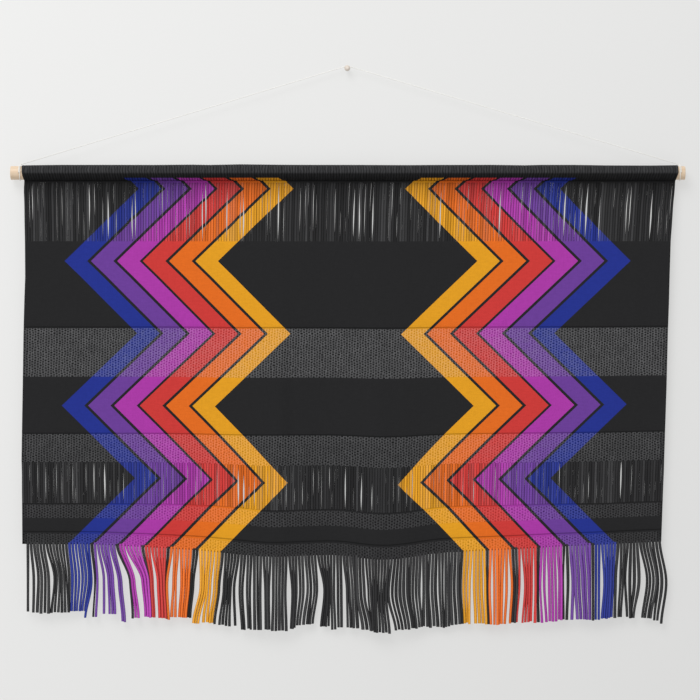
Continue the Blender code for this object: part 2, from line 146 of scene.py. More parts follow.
# The cloth narrows towards its lower right corner
EDGES = np.array((
    # height, left edge, right edge
    (-172, -576, 585), (-186, -575.5, 585.3), (-199, -572, 581), (-216, -573, 580), (-243, -572, 577),
    (-305, -571, 573), (-370, -570.5, 571), (-411, -572, 570), (-470, -573.5, 568), (-570, -575, 565.5),
    (-695, -577, 561.5), (-765, -576, 559), (-850, -575.5, 556),
))

# How far the weft lines hang below straight, across the cloth, at three heights
SAG = np.array((
    # across, at the middle, at the lower open band, at the hem
    (-576, 0, 0, 0), (-438, 0, 0, 1), (-332, 0, 1, 7), (-252, 1.5, 3.5, 12.5), (-199, 3, 7, 18),
    (-137, 3, 13.5, 23), (-84, 2.5, 11.5, 21), (-13, 3, 10.5, 19.5), (49, 6, 17.5, 28), (93, 6, 16.5, 26.5),
    (129, 3.5, 11.5, 20.5), (164, 2, 7, 16), (200, 1, 5, 14), (271, 0, 3.5, 10.5), (377, -1, 1, 4.5),
    (448, -2, 0, 1), (518, -3.5, -2.5, -2), (576, -4.5, -4, -5),
))
SAG_MIDDLE = -647.0
SAG_LOWER = -771.0
SAG_REACH = 22.0

# How far the sleeve's top stands above round, across the cloth
SLEEVE_TOP = np.array((
    (-576, -0.5), (-505, 0.6), (-340, 0.3), (-275, 0.7), (-245, 0.2), (-190, 1.5), (-120, 0.7), (-40, 0.5),
    (30, 0.2), (115, -0.1), (200, 0.4), (257, 0.6), (314, -0.3), (345, 0.5), (400, 0.4), (456, -0.6),
    (541, -0.7), (585, -0.2),
))

# Soft upright folds, deepest at the hem: positive ones stand towards the viewer
FOLDS = (
    # across, half width, depth at the hem
    (-530, 45, 3), (-455, 40, -2), (-385, 50, 3.5), (-250, 45, -3.5), (-135, 45, 8.5), (-40, 38, -4.5),
    (67, 48, 9.5), (165, 42, -4), (300, 60, 3), (430, 48, 4.5), (520, 36, -2.5),
)
FOLD_GROWTH = 1.2

# Narrow soft creases that the solid leaves out
CREASES = (
    # across, half width, depth, height of its middle, half its length
    (-118, 11, 1.3, -560, 190), (-97, 9, -1.2, -620, 170), (52, 12, 1.4, -610, 180),
    (84, 10, -1.1, -660, 150), (428, 10, -1.4, -560, 260), (-430, 14, 1.1, -640, 220),
    (-300, 13, -0.9, -520, 200), (235, 14, -0.9, -500, 200), (338, 12, 1, -650, 160),
    (512, 11, 1, -480, 230),
)

# Where the warp parts in the two open bands. These gaps are those cut through the solid
SLITS = (
    # warp position, gap in the upper band, gap in the lower band
    (-457, 4.2, 0), (-443, 0, 4.2), (-424, 4.2, 4.2), (-384, 4.4, 0), (-377, 4.4, 0), (-259, 4.4, 0),
    (-251.5, 4.2, 0), (-215, 4.2, 0), (-193, 4.2, 0), (-186, 4.2, 4.2), (-179, 0, 4.2), (-125, 4.4, 0),
    (4.5, 0, 4.2), (11.5, 4.4, 0), (18.5, 4.4, 0), (33, 0, 4.2), (43, 4.4, 0), (162, 4.2, 0), (267, 4.2, 0),
    (382, 4.2, 0), (420, 5, 0), (491.5, 4.4, 0), (498.5, 4.4, 4.2), (536.5, 4.4, 0),
)
# The narrower ones, by warp position
NARROW_UPPER = (
    -564, -557, -478, -464, -451, -434, -413, -401, -371, -359, -352, -329, -305, -288, -283, -274,
    -230, -209, -144, -137, -87, -62, -55, -25, -5, 2, 55, 111, 129, 155, 169, 176, 181, 261, 318,
    362, 374, 402, 411, 428, 444, 529, 547, 554, 562,
)
NARROW_LOWER = (
    -558, -552, -544, -531, -484, -459, -400, -392, -374, -318, -281, -225, -158, -138, -87, -74,
    -54, -41, 101, 115, 123, 151, 161, 196, 271, 350, 386, 441, 518, 535, 568,
)
NARROW_GAP = (0.15, 0.7)
NARROW_VARIETY = 1.7  # how fast the gap changes with the warp position
SLIT_SHARE = 0.41  # of a gap in the solid that the fine yarns leave open
SLIT_REACH = 5.5  # over which the yarns beside a gap close up
SLIT_SHIFT = 0.35  # how much the slits differ in where they are widest
SLIT_SHIFT_STEP = 17.0
SLIT_POINT = 1.35  # how pointed the slits are
OPEN_INSET = 1.2  # from an open band's edges to the ends of its yarns
OPEN_YARN_HALF = 2.46  # half a warp yarn's width, and its depth
OPEN_YARN_DEPTH = 0.80
OPEN_YARN_LEAST = 1.2  # the least half width, and the share of the room that it may fill
OPEN_YARN_FILL = 0.53
OPEN_YARN_SPREAD = 0.03
OPEN_YARN_SIDES = 12
YARN_WANDER = 0.12
YARN_ASIDE = 0.22  # how far the yarns lie behind and before the middle by turns, and its spread
ASIDE_SPREAD = 0.12
YARN_END = 0.55  # the share of its depth at both ends, and how fast it grows from there
YARN_END_GROWTH = 0.6
PLY_DIP = 0.32  # how deep the line between its two plies is, as a share of its depth
PLY_GROOVE = 0.3  # and how wide, as a cosine

# The fringe
FRINGE_STRIP = 2.6
FRINGE_LEFT = -565.6
FRINGE_RIGHT = 553.2
STRAND_FILL = 0.460  # half a strand's width as a share of its room
STRAND_HALF = (2.4, 3.1)  # the least and the most of it
STRAND_DEPTH = 1.15
STRAND_TIP = 0.94
STRAND_STAGGER = 1.15
STAGGER_DROP = 0.3
STRAND_STATIONS = 20
STRAND_SIDES = 10
STRAND_ENDS = (-0.03, 1.006)  # where its ends are, as shares of its length below the strip
STRAND_CUT = 0.88  # the size of its last ring
STRAND_SIZE_SPREAD = 0.04
LENGTH_SPREAD = 0.7
WAVE_SPREAD = 0.22
WAVE_PHASES = 6.0
TURN_SPREAD = 0.35  # of its flat side about its length
TURN_PHASES = 3.0
TURN_GROWTH = 5.0
HEM_MARKS = 300
CURL = 0.75  # how far a strand bends in an S instead of a plain bow
LOCKS = (
    # strands, lean at half length, spacing there, lean at the tip, spacing there, length
    (1, 0, 1, 0, 1, 116), (1, 5, 1, 4, 1, 118), (4, 8, 1.08, 7, 1.2, 119), (6, 10, 0.76, 9, 1.08, 118),
    (7, 6, 1.04, 2, 0.84, 115), (1, 5, 1, -6, 1, 126), (2, 5, 0.75, 2, 0.94, 125), (1, 10, 1, 10, 1, 120),
    (3, 11, 0.71, 14, 0.86, 119), (2, 14, 0.78, 20, 0.75, 132), (3, 21, 0.63, 27, 0.94, 124),
    (8, 17, 0.45, 21, 0.4, 121), (7, 1, 0.47, 4, 0.47, 121), (2, -3, 0.75, -5, 1.13, 117),
    (6, -3, 0.75, -8, 0.69, 116), (3, -1, 0.72, -14, 0.72, 125), (2, -5, 0.9, -11, 1.1, 123),
    (3, -5, 0.78, -13, 0.78, 123), (4, -6, 0.73, -11, 1.04, 124), (1, -8, 1, -6, 1, 123),
    (2, -4, 0.82, 0, 0.75, 128), (2, -2, 0.82, 0, 0.75, 127), (2, 0, 0.94, 1, 1.13, 127),
    (1, -1, 1, 0, 1, 126), (3, 0, 0.56, 1, 0.53, 126), (5, -1, 0.94, -1, 1.08, 128),
    (3, 3, 0.63, 0, 0.47, 125), (2, 2, 0.94, -4, 0.82, 120), (2, 4, 0.94, -3, 1.38, 119),
    (2, 4, 0.82, -4, 0.82, 118), (4, 7, 0.52, 3, 0.78, 123), (2, 0, 0.82, 2, 0.94, 128),
    (2, 1, 1, 2, 1, 124), (2, 5, 0.78, 7, 0.94, 123), (2, 4, 0.94, 7, 1.25, 123), (3, 2, 1.1, 13, 1.25, 124),
    (3, 3, 0.78, 7, 0.5, 125), (5, -2, 0.8, 2, 1, 126), (6, -3, 1.2, 8, 1.04, 122),
    (2, -2, 0.94, 5, 0.75, 124), (2, -2, 1, 3, 0.75, 123), (2, 0, 0.94, 1, 1.25, 124),
    (3, -2, 1.1, 2, 1.18, 126), (3, 0, 0.94, 2, 0.72, 128), (1, -1, 1, 0, 1, 128),
    (3, -2, 1.1, 1, 1.25, 125), (4, -3, 0.94, -1, 0.73, 124), (3, 0, 1.1, 3, 1.16, 125),
    (3, 0, 0.71, 2, 0.72, 128), (2, 1, 0.94, 1, 0.94, 129), (2, -2, 0.82, -3, 0.82, 128),
    (1, 0, 1, -3, 1, 128), (4, 2, 0.78, -2, 0.73, 127), (4, 2, 0.68, -1, 0.9, 127),
    (3, -1, 0.72, 0, 1.1, 129), (1, -1, 1, 3, 1, 129), (3, 2, 0.99, 3, 0.99, 128),
    (3, 1, 0.56, 1, 0.72, 126), (2, 3, 1.6, 1, 1.6, 127), (3, 4, 1.1, 7, 1.1, 127),
    (2, 4, 1.07, 6, 0.82, 127), (4, 0, 0.94, 0, 0.9, 129), (4, 1, 0.66, -3, 0.73, 127),
    (2, -4, 0.75, -6, 1.07, 127), (2, -2, 0.75, -6, 0.75, 127), (2, -3, 1.4, -1, 0.94, 129),
    (2, 2, 1.4, -6, 0.75, 129), (2, 12, 0.91, 3, 0.75, 129), (2, 12, 0.91, 2, 0.75, 131),
    (2, 9, 1.25, 2, 0.91, 136), (1, 12, 1, 3, 1, 141),
)

# The print: two mirrored upright zigzags of six stripes with thin black lines between them
STRIPE = 40.1  # measured level, along the cloth's width
LINE = 6.2
ZIGZAG_CENTRE = 300.0
ZIGZAG_REACH = 66.0
ZIGZAG_HALF_PERIOD = 128.0
ZIGZAG_PHASE = 42.0
PRINT_MARGIN = 10.0

UV_SPAN = 1250.0  # millimetres for one unit of a UV map


def srgb(red, green, blue):
    """A display colour of 0 to 255 as scene-linear values."""
    found = []
    for value in (red / 255.0, green / 255.0, blue / 255.0):
        found.append(value / 12.92 if value <= 0.04045 else ((value + 0.055) / 1.055) ** 2.4)
    return (*found, 1.0)


GROUND = srgb(37, 37, 38)
PRINT = (
    # from the middle of the cloth outward
    srgb(217, 151, 35),
    srgb(217, 104, 34),
    srgb(196, 58, 55),
    srgb(164, 57, 159),
    srgb(103, 61, 145),
    srgb(37, 50, 135),
)
# The grey of lint and of a painted sheen on the cloth and yarns
LINT_AND_SHEEN_COLOUR = srgb(176, 176, 178)
STRING_COLOURS = ((0.3, srgb(220, 219, 214)), (0.7, srgb(238, 237, 233)))
# Pale, warm and dark wood, and the colour of the painted highlight in the middle of the peg's head
DOWEL_WOOD = (srgb(213, 191, 165), srgb(205, 177, 145), srgb(178, 146, 112))
PEG_WOOD = (srgb(207, 197, 187), srgb(203, 192, 181), srgb(190, 177, 164))
PEG_HIGHLIGHT = srgb(226, 217, 207)
FLOOR_COLOUR = srgb(226, 225, 222)


# Where a point of the flat cloth lies on the hung one

def across(warp, height):
    left = np.interp(-height, -EDGES[:, 0], EDGES[:, 1])
    right = np.interp(-height, -EDGES[:, 0], EDGES[:, 2])
    return left + (warp + HALF_WIDTH) / (2.0 * HALF_WIDTH) * (right - left)


def soft_sag(x, column):
    shares = (-1.0, -0.5, 0.0, 0.5, 1.0)
    return sum(np.interp(x + SAG_REACH * share, SAG[:, 0], SAG[:, column]) for share in shares) / len(shares)


def sag(x, height):
    middle, lower, hem = (soft_sag(x, column) for column in (1, 2, 3))
    upper = middle * ((CREASE - height) / (CREASE - SAG_MIDDLE)) ** 2
    between = middle + (lower - middle) * (SAG_MIDDLE - height) / (SAG_MIDDLE - SAG_LOWER)
    foot = lower + (hem - lower) * (SAG_LOWER - height) / (SAG_LOWER - HEM)
    return np.where(height > SAG_MIDDLE, upper, np.where(height > SAG_LOWER, between, foot))


def fold(x, height):
    depth = sum(size * np.exp(-((x - centre) / half) ** 2) for centre, half, size in FOLDS)
    depth = depth * np.maximum(0.0, (CREASE - height) / (CREASE - HEM)) ** FOLD_GROWTH
    for centre, half, size, middle, reach in CREASES:
        depth = depth + size * np.exp(-((x - centre) / half) ** 2 - ((height - middle) / reach) ** 2)
    return depth


def sheet_point(warp, height, offset=0.0):
    """Points on the cloth's middle surface, or in front of it by a negative offset."""
    warp, height, offset = np.broadcast_arrays(
        np.asarray(warp, float), np.asarray(height, float), np.asarray(offset, float)
    )
    x = across(warp, height)
    return np.stack((x, AXIS_Y - fold(x, height) + offset, height - sag(x, height)), axis=-1)


# Meshes

def flat_uv(warp, height):
    """Pairs of UV coordinates that hold places on the flat cloth."""
    warp, height = np.broadcast_arrays(np.asarray(warp, float), np.asarray(height, float))
    return np.stack((0.5 + warp / UV_SPAN, 1.0 + height / UV_SPAN), axis=-1).reshape(-1, 2)


def add_object(name, data):
    made = bpy.data.objects.new(name, data)
    bpy.context.scene.collection.objects.link(made)
    return made


def make_piece(name, points, faces, uvs, material, sharp=None):
    """Put a mesh in the scene. points are in millimetres, and uvs maps a layer to a pair per point."""
    mesh = bpy.data.meshes.new(name)
    mesh.from_pydata((np.asarray(points) * MM).tolist(), [], faces)
    corners = np.empty(len(mesh.loops), dtype=np.int32)
    mesh.loops.foreach_get("vertex_index", corners)
    for layer, pairs in uvs.items():
        made = mesh.uv_layers.new(name=layer)
        made.data.foreach_set("uv", np.asarray(pairs, dtype=np.float32)[corners].ravel())
    mesh.shade_smooth()
    if sharp is not None:
        mesh.set_sharp_from_angle(angle=math.radians(sharp))
    mesh.materials.append(material)
    piece = add_object(name, mesh)
    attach(piece, BODY)
    return piece


def grid_faces(first, rows, columns, flip=False):
    """Quads of a grid of points numbered row by row from first."""
    r, c = np.meshgrid(np.arange(rows - 1), np.arange(columns - 1), indexing="ij")
    corner = first + r * columns + c
    quads = np.stack((corner, corner + columns, corner + columns + 1, corner + 1), axis=-1).reshape(-1, 4)
    return (quads[:, ::-1] if flip else quads).tolist()


def ring_walls(rings, sides, first=0, flip=False):
    """Quads between rings of points numbered ring by ring from first."""
    ring, side = np.meshgrid(np.arange(rings - 1), np.arange(sides), indexing="ij")
    low = first + ring * sides
    after = (side + 1) % sides
    quads = np.stack((low + side, low + sides + side, low + sides + after, low + after), axis=-1)
    quads = quads.reshape(-1, 4)
    return (quads[:, (0, 3, 2, 1)] if flip else quads).tolist()


def tube_faces(tubes, stations, sides):
    """Walls and end caps of tubes numbered tube by tube and ring by ring, from the top down."""
    walls, caps = [], []
    for top in range(0, tubes * stations * sides, stations * sides):
        foot = top + (stations - 1) * sides
        walls += ring_walls(stations, sides, top)
        caps += [list(range(top, top + sides)), list(range(foot, foot + sides))[::-1]]
    return walls + caps


def ring_angles(sides):
    return 2.0 * np.pi * np.arange(sides) / sides


def hanging_tubes(centres, wide, deep, turn, sides, dip=0.0):
    """Level rings round hanging yarns: centres is yarns x stations x 3, the sizes are yarns x stations."""
    angle = ring_angles(sides)
    waist = 1.0 - dip * np.exp(-(np.cos(angle) / PLY_GROOVE) ** 2)
    u = wide[..., None] * np.cos(angle)
    v = deep[..., None] * np.sin(angle) * waist
    cos, sin = np.cos(turn)[..., None], np.sin(turn)[..., None]
    shift = np.stack((u * cos - v * sin, u * sin + v * cos, np.zeros_like(u)), axis=-1)
    return (centres[:, :, None, :] + shift).reshape(-1, 3), angle


# Woven bands

def band_rows(bands):
    """Rows of a run of woven bands: height, half thickness, relief and whether the back has the row too."""
    rows = []
    weft = 0
    for kind, top, bottom in bands:
        rows.append((top, GROOVE_HALF, 0.0, True))
        if kind == "fine":
            count = max(2, round((top - bottom) / FINE_ROW))
            levels = [top + (bottom - top) * step / count for step in range(1, count)]
            levels = [top - FINE_INSET] + levels + [bottom + FINE_INSET]
            rows += [(level, FINE_HALF, 0.0, True) for level in levels]
            continue
        count = round((top - bottom) / WEFT_PITCH)
        pitch = (top - bottom) / count
        for step in range(count):
            weft += 1
            rows.append((top - (step + 0.5) * pitch, COARSE_HALF, COARSE_RELIEF * (-1.0) ** weft, True))
            if step < count - 1:
                rows.append((top - (step + 1.0) * pitch, VALLEY_HALF, 0.0, False))
    rows.append((bands[-1][2], GROOVE_HALF, 0.0, True))
    return rows


def build_woven(name, bands, material):
    """A closed sheet whose front and back carry the weave of the coarse bands, yarn by yarn."""
    warp = np.concatenate(((-HALF_WIDTH,), YARNS, (HALF_WIDTH,)))
    rows = band_rows(bands)
    heights, half, relief, _ = np.array(rows).T[:, :, None]
    shared = [index for index, row in enumerate(rows) if row[3]]
    over = (-1.0) ** np.arange(len(warp))
    over[[0, -1]] = 0.0
    calm = np.where(np.abs(warp) > HALF_WIDTH - SELVEDGE, SELVEDGE_CALM, 1.0)
    rise = relief * (over * calm)
    front = sheet_point(warp, heights, -half - rise)
    back = sheet_point(warp, heights[shared], half[shared] - rise[shared])
    columns = len(warp)
    base = len(rows) * columns
    faces = grid_faces(0, len(rows), columns) + grid_faces(base, len(shared), columns, flip=True)
    foot_front = base - columns
    foot_back = base + (len(shared) - 1) * columns
    for c in range(columns - 1):
        faces.append((c, c + 1, base + c + 1, base + c))
        faces.append((foot_front + c + 1, foot_front + c, foot_back + c, foot_back + c + 1))
    for place, (low, high) in enumerate(zip(shared, shared[1:])):
        for c, flip in ((0, False), (columns - 1, True)):
            down = [row * columns + c for row in range(low, high + 1)]
            loop = [base + place * columns + c, base + (place + 1) * columns + c] + down[::-1]
            faces.append(loop[::-1] if flip else loop)
    points = np.concatenate((front.reshape(-1, 3), back.reshape(-1, 3)))
    places = np.concatenate((flat_uv(warp, heights), flat_uv(warp, heights[shared])))
    return make_piece(name, points, faces, {"cloth": places}, material, sharp=70)


# Sleeve and heading

def sleeve_radius(x):
    corner = (DOWEL_RADIUS + GAP) / math.cos(math.pi / SLEEVE_CORNERS)
    waves = sum(size * np.sin(x / length + phase) for length, size, phase in SLEEVE_WAVES)
    return corner + SLEEVE_THICKNESS + SLEEVE_WAVER * (0.5 + WAVE_SHARE * waves)


def build_sleeve(material):
    """The cloth's top: a ribbed tube round the dowel, closed over the narrow heading below the seam."""
    count = 2 * YARN_COUNT + 1
    warp = np.linspace(-HALF_WIDTH, HALF_WIDTH, count)[:, None]
    rib = np.where(np.arange(count) % 2 == 1, 1.0, -1.0)[:, None] * SLEEVE_RIB
    start = math.asin(SEAM_HALF / float(sleeve_radius(0.0)))
    angles = start + (2.0 * math.pi - 2.0 * start) * np.arange(SLEEVE_STEPS + 1) / SLEEVE_STEPS
    stem = np.array((CREASE,) + HEADING_ROWS)
    half = SEAM_HALF + HEADING_RIB * rib
    front = sheet_point(warp, stem[::-1], -half)
    back = sheet_point(warp, stem, half)
    middle = across(warp, AXIS_Z)
    arc = angles[1:-1]
    lift = np.interp(middle, SLEEVE_TOP[:, 0], SLEEVE_TOP[:, 1])
    radius = sleeve_radius(middle) + rib + lift * np.maximum(0.0, -np.cos(arc))
    z = AXIS_Z - radius * np.cos(arc)
    x = across(warp, z)
    round_part = np.stack((x, AXIS_Y - radius * np.sin(arc), z), axis=-1)
    loop = np.concatenate((front, round_part, back), axis=1)
    size = loop.shape[1]
    outer = loop.reshape(-1, 3)
    turn = AXIS_Z - CREASE
    behind = CREASE + turn * 2.0 * math.pi + stem - CREASE
    heights = np.concatenate((stem[::-1], CREASE + turn * arc, behind))
    places = flat_uv(warp, heights)

    inner_warp = warp[::INNER_STEP]
    bore = (DOWEL_RADIUS + GAP) / math.cos(math.pi / SLEEVE_STEPS)
    z = AXIS_Z - bore * np.cos(angles)
    inner = np.broadcast_arrays(across(inner_warp, z), AXIS_Y - bore * np.sin(angles), z)
    inner = np.stack(inner, axis=-1).reshape(-1, 3)
    lining = flat_uv(inner_warp, CREASE + turn * angles)
    base = len(outer)
    ring = len(angles)
    faces = ring_walls(count, size) + ring_walls(len(inner_warp), ring, base, flip=True)

    seam = len(stem) - 1
    for column, inner_column, flip in ((0, 0, False), (count - 1, len(inner_warp) - 1, True)):
        edge = column * size
        hole = base + inner_column * ring
        caps = [(edge + seam + k, edge + seam + k + 1, hole + k + 1, hole + k) for k in range(ring - 1)]
        caps.append((edge + seam, hole, hole + ring - 1, edge + seam + ring - 1))
        caps += [(edge + k, edge + k + 1, edge + size - 2 - k, edge + size - 1 - k) for k in range(seam)]
        faces += [cap[::-1] if flip else cap for cap in caps]
    points = np.concatenate((outer, inner))
    places = np.concatenate((places, lining))
    return make_piece("cloth_sleeve", points, faces, {"cloth": places}, material, sharp=60)


# Warp yarns of the open bands

def partings(column, narrow):
    """Warp positions and gaps of an open band: those of the solid and the narrower ones."""
    found = [(row[0], SLIT_SHARE * row[column]) for row in SLITS if row[column] > 0.0]
    low, high = NARROW_GAP
    for warp in narrow:
        found.append((float(warp), low + (high - low) * (0.5 + 0.5 * math.sin(NARROW_VARIETY * warp))))
    return found


def build_open(name, band, column, narrow, late, stations, material, rng):
    """The loose warp of an open band, yarn by yarn, parted at the slits.

    Above 1, late moves down the place where the slits are widest.
    """
    top, bottom = band
    share = np.linspace(0.0, 1.0, stations)
    height = (top + OPEN_INSET) + (bottom - top - 2.0 * OPEN_INSET) * share
    warp = np.repeat(YARNS[:, None], stations, axis=1)
    wander = rng.normal(0.0, YARN_WANDER, (YARN_COUNT, 2))
    warp += wander[:, :1] * np.sin(np.pi * share) + wander[:, 1:2] * np.sin(2.0 * np.pi * share)
    for place, gap in partings(column, narrow):
        middle = -HALF_WIDTH + YARN_PITCH * round((place + HALF_WIDTH) / YARN_PITCH)
        away = YARNS - middle
        reach = np.exp(-(np.abs(away) - 0.5 * YARN_PITCH) / SLIT_REACH)
        lower = late + SLIT_SHIFT * math.sin(place / SLIT_SHIFT_STEP)
        bulge = np.sin(np.pi * share ** lower) ** (SLIT_POINT * late)
        warp += (np.sign(away) * reach)[:, None] * (0.5 * gap * bulge)
    room = np.full_like(warp, YARN_PITCH)
    spread = np.diff(warp, axis=0)
    room[1:] = np.minimum(room[1:], spread)
    room[:-1] = np.minimum(room[:-1], spread)
    ends = np.clip(np.minimum(share, 1.0 - share) * stations * YARN_END_GROWTH, YARN_END, 1.0)
    size = 1.0 + rng.normal(0.0, OPEN_YARN_SPREAD, (YARN_COUNT, 1))
    wide = np.minimum(OPEN_YARN_HALF * size, np.maximum(OPEN_YARN_LEAST, OPEN_YARN_FILL * room))
    deep = OPEN_YARN_DEPTH * size * ends
    aside = np.where(np.arange(YARN_COUNT) % 2 == 0, YARN_ASIDE, -YARN_ASIDE)[:, None]
    aside = aside + rng.normal(0.0, ASIDE_SPREAD, (YARN_COUNT, 1))
    centres = sheet_point(warp, height, aside * np.sin(np.pi * share))
    points, angle = hanging_tubes(centres, wide, deep, np.zeros_like(warp), OPEN_YARN_SIDES, PLY_DIP)
    tone = rng.random(YARN_COUNT)
    return yarn_piece(name, points, YARNS, height, 0.5 * YARN_PITCH, tone, angle, stations, material)


def yarn_piece(name, points, warp, height, spread, tone, angle, stations, material):
    """A mesh of hanging yarns, with their place on the flat cloth, their tone and their round position."""
    count, sides = len(warp), len(angle)
    height = np.broadcast_to(height, (count, stations))[..., None]
    cloth = flat_uv(warp[:, None, None] + spread * np.cos(angle), height)
    along = -points.reshape(count, stations, sides, 3)[..., 2] / UV_SPAN
    yarn = np.stack(np.broadcast_arrays(tone[:, None, None], along), axis=-1).reshape(-1, 2)
    turn = np.stack((0.5 + 0.5 * np.cos(angle), 0.5 + 0.5 * np.sin(angle)), axis=-1)
    turn = np.tile(turn, (count * stations, 1))
    faces = tube_faces(count, stations, sides)
    uvs = {"cloth": cloth, "yarn": yarn, "round": turn}
    return make_piece(name, points, faces, uvs, material, sharp=70)


# Fringe

def strands():
    """The pitch, and each strand's root, leans halfway and at the tip, length, and room at those two."""
    count = sum(lock[0] for lock in LOCKS)
    pitch = (FRINGE_RIGHT - FRINGE_LEFT) / (count - 1)
    found = []
    for number, lean_mid, space_mid, lean_tip, space_tip, length in LOCKS:
        centre = FRINGE_LEFT + pitch * (len(found) + (number - 1) / 2.0)
        for place in range(number):
            off = pitch * (place - (number - 1) / 2.0)
            mid = lean_mid + off * (space_mid - 1.0)
            tip = lean_tip + off * (space_tip - 1.0)
            found.append((centre + off, mid, tip, float(length), pitch * space_mid, pitch * space_tip))
    return pitch, np.array(found)


def eased(share):
    return share * share * (3.0 - 2.0 * share)


def build_fringe(material, rng):
    """Smooth cords that hang out of the hem, each on its strand of the solid."""
    pitch, found = strands()
    root, mid, tip, length, room_mid, room_tip = found.T[:, :, None]
    count = len(root)
    marks = sheet_point(np.linspace(-HALF_WIDTH, HALF_WIDTH, HEM_MARKS), HEM)
    root_y = np.interp(root, marks[:, 0], marks[:, 1])
    root_z = np.interp(root, marks[:, 0], marks[:, 2])
    share = np.linspace(0.0, 1.0, STRAND_STATIONS - 2)
    share = np.concatenate((STRAND_ENDS[:1], share, STRAND_ENDS[1:]))
    t = np.maximum(share, 0.0)
    length = length + rng.normal(0.0, LENGTH_SPREAD, (count, 1))
    plain = 4.0 * mid * t * (1.0 - t) + tip * t * (2.0 * t - 1.0)
    first, second = np.clip(2.0 * t, 0.0, 1.0), np.clip(2.0 * t - 1.0, 0.0, 1.0)
    curled = mid * eased(first) + (tip - mid) * eased(second)
    lean = plain + CURL * (curled - plain)
    wave = rng.normal(0.0, WAVE_SPREAD, (count, 1))
    wave = wave * np.sin(np.pi * t * 2.0 + rng.random((count, 1)) * WAVE_PHASES) * t
    side = np.where(np.arange(count) % 2 == 1, -1.0, 1.0)[:, None]
    drop = np.minimum(1.0, t / STAGGER_DROP)
    x = root + lean + wave
    y = root_y + side * STRAND_STAGGER * eased(drop)
    z = root_z - GAP - length * share - FRINGE_STRIP * t
    centres = np.stack((x, y, z), axis=-1)
    taper = 1.0 + (STRAND_TIP - 1.0) * t
    taper = taper * np.where(share > 1.0, STRAND_CUT, 1.0)
    room = pitch + (room_mid - pitch) * eased(first) + (room_tip - room_mid) * eased(second)
    wide = np.clip(STRAND_FILL * room, *STRAND_HALF)
    size = 1.0 + rng.normal(0.0, STRAND_SIZE_SPREAD, (count, 1))
    turn = rng.normal(0.0, TURN_SPREAD, (count, 1))
    turn = turn * np.sin(np.pi * t + rng.random((count, 1)) * TURN_PHASES)
    turn = turn * np.clip(t * TURN_GROWTH, 0.0, 1.0)
    size = size * taper
    points, angle = hanging_tubes(centres, wide * size, STRAND_DEPTH * size, turn, STRAND_SIDES)
    warp = (root[:, 0] - marks[0, 0]) / (marks[-1, 0] - marks[0, 0]) * 2.0 * HALF_WIDTH - HALF_WIDTH
    tone = rng.random(count)
    return yarn_piece(
        "fringe_cords", points, warp, HEM, 0.0, tone, angle, STRAND_STATIONS, material
    )


# Dowel and peg

def turned(name, profile, sides, place, material, sharp):
    """A solid of revolution from (distance along, radius) pairs, closed at both ends."""
    points = []
    for distance, radius in profile:
        points += [place(distance, radius * math.cos(a), radius * math.sin(a)) for a in ring_angles(sides)]
    faces = ring_walls(len(profile), sides, flip=True)
    foot = (len(profile) - 1) * sides
    faces += [list(range(sides))[::-1], list(range(foot, foot + sides))]
    return make_piece(name, points, faces, {}, material, sharp=sharp)


def build_dowel(material):
    half = DOWEL_LENGTH / 2.0
    inner = DOWEL_RADIUS - DOWEL_ROUNDING
    profile = [(-half, share * inner) for share in DOWEL_END_RINGS]
    for step in range(4, -1, -1):
        angle = step * math.pi / 8.0
        profile.append((
            -half + DOWEL_ROUNDING * (1.0 - math.sin(angle)),
            inner + DOWEL_ROUNDING * math.cos(angle),
        ))
    profile += [(-distance, radius) for distance, radius in profile[::-1]]

    def place(along, back, up):
        return DOWEL_CENTRE + along, AXIS_Y + back, AXIS_Z + up

    return turned("dowel_rod", profile, DOWEL_SIDES, place, material, 50)


def build_peg(material):
    head = PEG_SHAFT_LENGTH
    profile = [
        (0.0, PEG_SHAFT_RADIUS),
        (head - PEG_NECK[0], PEG_SHAFT_RADIUS),
        (head, PEG_SHAFT_RADIUS + PEG_NECK[1]),
        (head, PEG_HEAD_RADIUS - PEG_HEAD_EDGE),
        (head + PEG_RIM[0], PEG_HEAD_RADIUS - PEG_RIM[1]),
    ]
    for angle in map(math.radians, PEG_HEAD_DEGREES):
        profile.append((head + PEG_HEAD_HEIGHT * math.sin(angle), PEG_HEAD_RADIUS * math.cos(angle)))
    return turned("peg_turned", profile, PEG_SIDES, lambda d, u, v: (-u, -d, v), material, 40)


# String

def windings(start, turn_in):
    lay = (DOWEL_RADIUS + GAP + STRING_RADIUS) / math.cos(math.pi / WRAP_POINTS)
    steps = round(WRAP_TURNS * WRAP_POINTS)
    rise = WRAP_POINTS // 4
    points = []
    for step in range(steps + 1):
        angle = 0.5 * math.pi + 2.0 * math.pi * (steps - step) / WRAP_POINTS
        lift = max(0.0, (step - (steps - rise)) / rise)
        radius = lay + WRAP_LIFT * lift
        x = start + turn_in * WRAP_PITCH * step / WRAP_POINTS
        points.append((x, AXIS_Y + radius * math.cos(angle), AXIS_Z + radius * math.sin(angle)))
    return points


def string_route():
    left = windings(WRAP_START_LEFT, 1.0)
    right = windings(WRAP_START_RIGHT, -1.0)
    bend = math.radians(PEG_PASS[1] - PEG_PASS[0])
    reach = (PEG_SHAFT_RADIUS + GAP + STRING_RADIUS) / math.cos(bend / 2.0)
    over = [(reach * math.sin(a), PEG_PASS_Y, reach * math.cos(a)) for a in map(math.radians, PEG_PASS)]
    return left + over + right[::-1]


